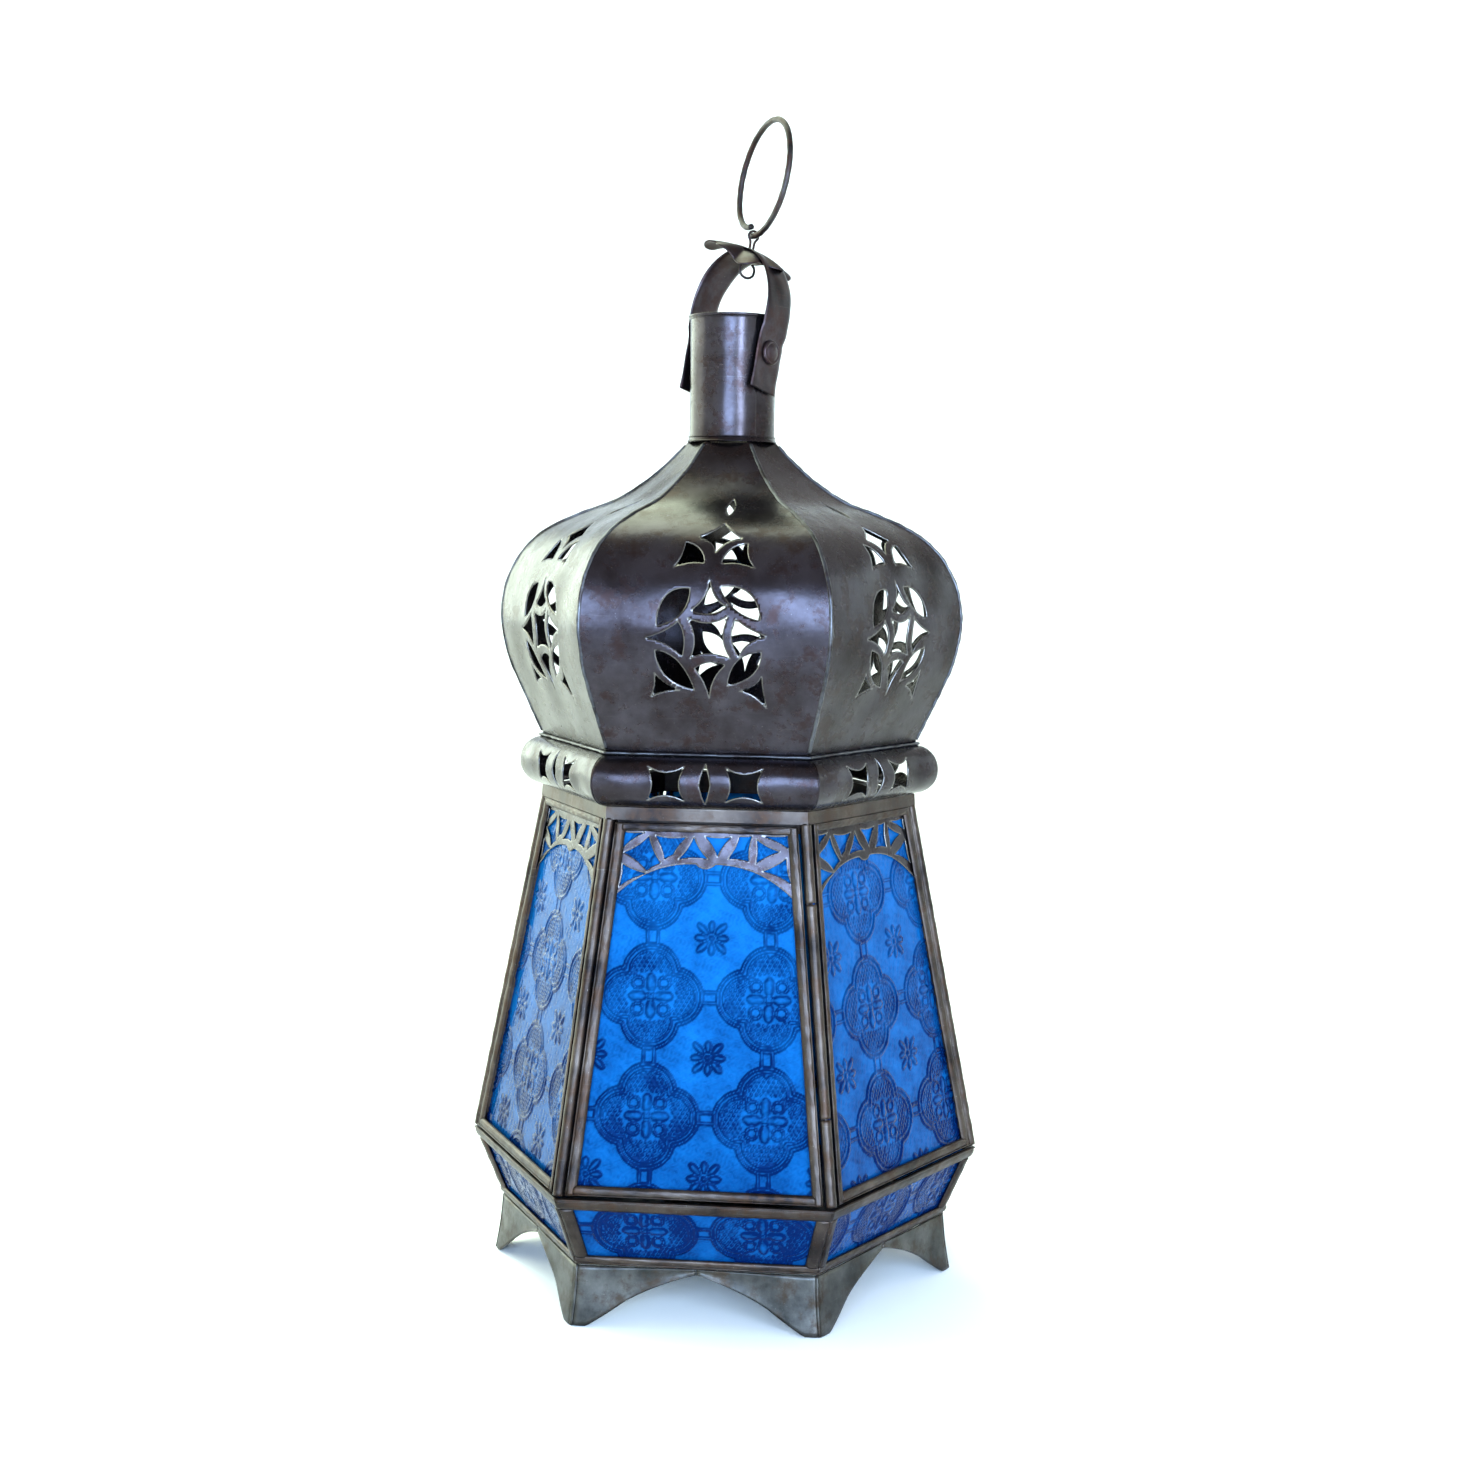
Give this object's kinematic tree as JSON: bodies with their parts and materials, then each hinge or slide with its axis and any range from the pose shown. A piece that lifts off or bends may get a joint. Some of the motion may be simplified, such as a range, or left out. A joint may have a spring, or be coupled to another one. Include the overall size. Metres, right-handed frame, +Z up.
{
  "type": "candle lantern",
  "caption": "Hexagonal pierced-tin candle lantern: onion dome and neck over a flared cage of pressed blue glass with a hinged pane, scalloped feet, strap bail and hanging ring.",
  "frame": {"origin": "on the lantern's vertical axis, at the level of the foot tips", "axes": "+Z up through the neck; -Y out of the front pane, which is the door; +X to the right of someone facing the door"},
  "size_m": [0.23, 0.1992, 0.5122],
  "materials": {
    "patinated_tin": "tin sheet with a dark brown-black patina, worn lighter on the edges",
    "soldered_came": "folded tin came, tinned with solder, worn and lightly rusted",
    "soldered_tin": "grey tinned sheet, dull, brown at the edges",
    "rusty_iron": "iron wire with thin brown rust",
    "blue_glass": "cobalt-blue pressed pattern glass, glossy"
  },
  "bodies": {
    "lantern": {"dome_gore_front": "patinated_tin", "waist_moulding_front": "patinated_tin", "base_pane_front": "blue_glass", "dome_gore_front_right": "patinated_tin", "waist_moulding_front_right": "patinated_tin", "base_pane_front_right": "blue_glass", "came_front_right": "soldered_came", "pane_front_right": "blue_glass", "tracery_front_right": "patinated_tin", "dome_gore_back_right": "patinated_tin", "waist_moulding_back_right": "patinated_tin", "base_pane_back_right": "blue_glass", "came_back_right": "soldered_came", "pane_back_right": "blue_glass", "tracery_back_right": "patinated_tin", "dome_gore_back": "patinated_tin", "waist_moulding_back": "patinated_tin", "base_pane_back": "blue_glass", "came_back": "soldered_came", "pane_back": "blue_glass", "tracery_back": "patinated_tin", "dome_gore_back_left": "patinated_tin", "waist_moulding_back_left": "patinated_tin", "base_pane_back_left": "blue_glass", "came_back_left": "soldered_came", "pane_back_left": "blue_glass", "tracery_back_left": "patinated_tin", "dome_gore_front_left": "patinated_tin", "waist_moulding_front_left": "patinated_tin", "base_pane_front_left": "blue_glass", "came_front_left": "soldered_came", "pane_front_left": "blue_glass", "tracery_front_left": "patinated_tin", "foot_front_right": "soldered_tin", "foot_right": "soldered_tin", "post_right": "soldered_came", "foot_back_right": "soldered_tin", "post_back_right": "soldered_came", "foot_back_left": "soldered_tin", "post_back_left": "soldered_came", "foot_left": "soldered_tin", "post_left": "soldered_came", "foot_front_left": "soldered_tin", "post_front_left": "soldered_came", "hinge_post_front_right": "soldered_came", "hinge_pin": "rusty_iron", "top_rail": "soldered_came", "base_frame": "soldered_came", "floor_plate": "patinated_tin", "candle_cup": "patinated_tin", "neck_tube": "patinated_tin", "rivet_front": "patinated_tin", "rivet_back": "patinated_tin"},
    "door": {"door_frame": "soldered_came", "door_pane": "blue_glass", "door_tracery": "patinated_tin"},
    "bail": {"bail_strap": "patinated_tin", "flower_washer": "patinated_tin"},
    "eye": {"ring_eye": "rusty_iron"},
    "ring": {"hanging_ring": "rusty_iron"}
  },
  "joints": [
    {"name": "door_hinge", "type": "hinge", "parent": "lantern", "child": "door", "pos_m": [0.05268, -0.09124, 0.0925], "axis": [-0.0981, 0.1698, 0.9806], "range_deg": [0, 110]},
    {"name": "bail_swing", "type": "hinge", "parent": "lantern", "child": "bail", "pos_m": [0, 0, 0.4075], "axis": [0.8443, -0.5358, 0], "range_deg": [-76, 104]},
    {"name": "eye_swivel", "type": "hinge", "parent": "bail", "child": "eye", "pos_m": [0.00596, 0.0094, 0.45213], "axis": [0.1296, 0.2043, 0.9703], "continuous": true},
    {"name": "ring_swing", "type": "hinge", "parent": "eye", "child": "ring", "pos_m": [0.00707, 0.01113, 0.46038], "axis": [0.4836, -0.8727, -0.0666], "range_deg": [-84, 84]}
  ]
}
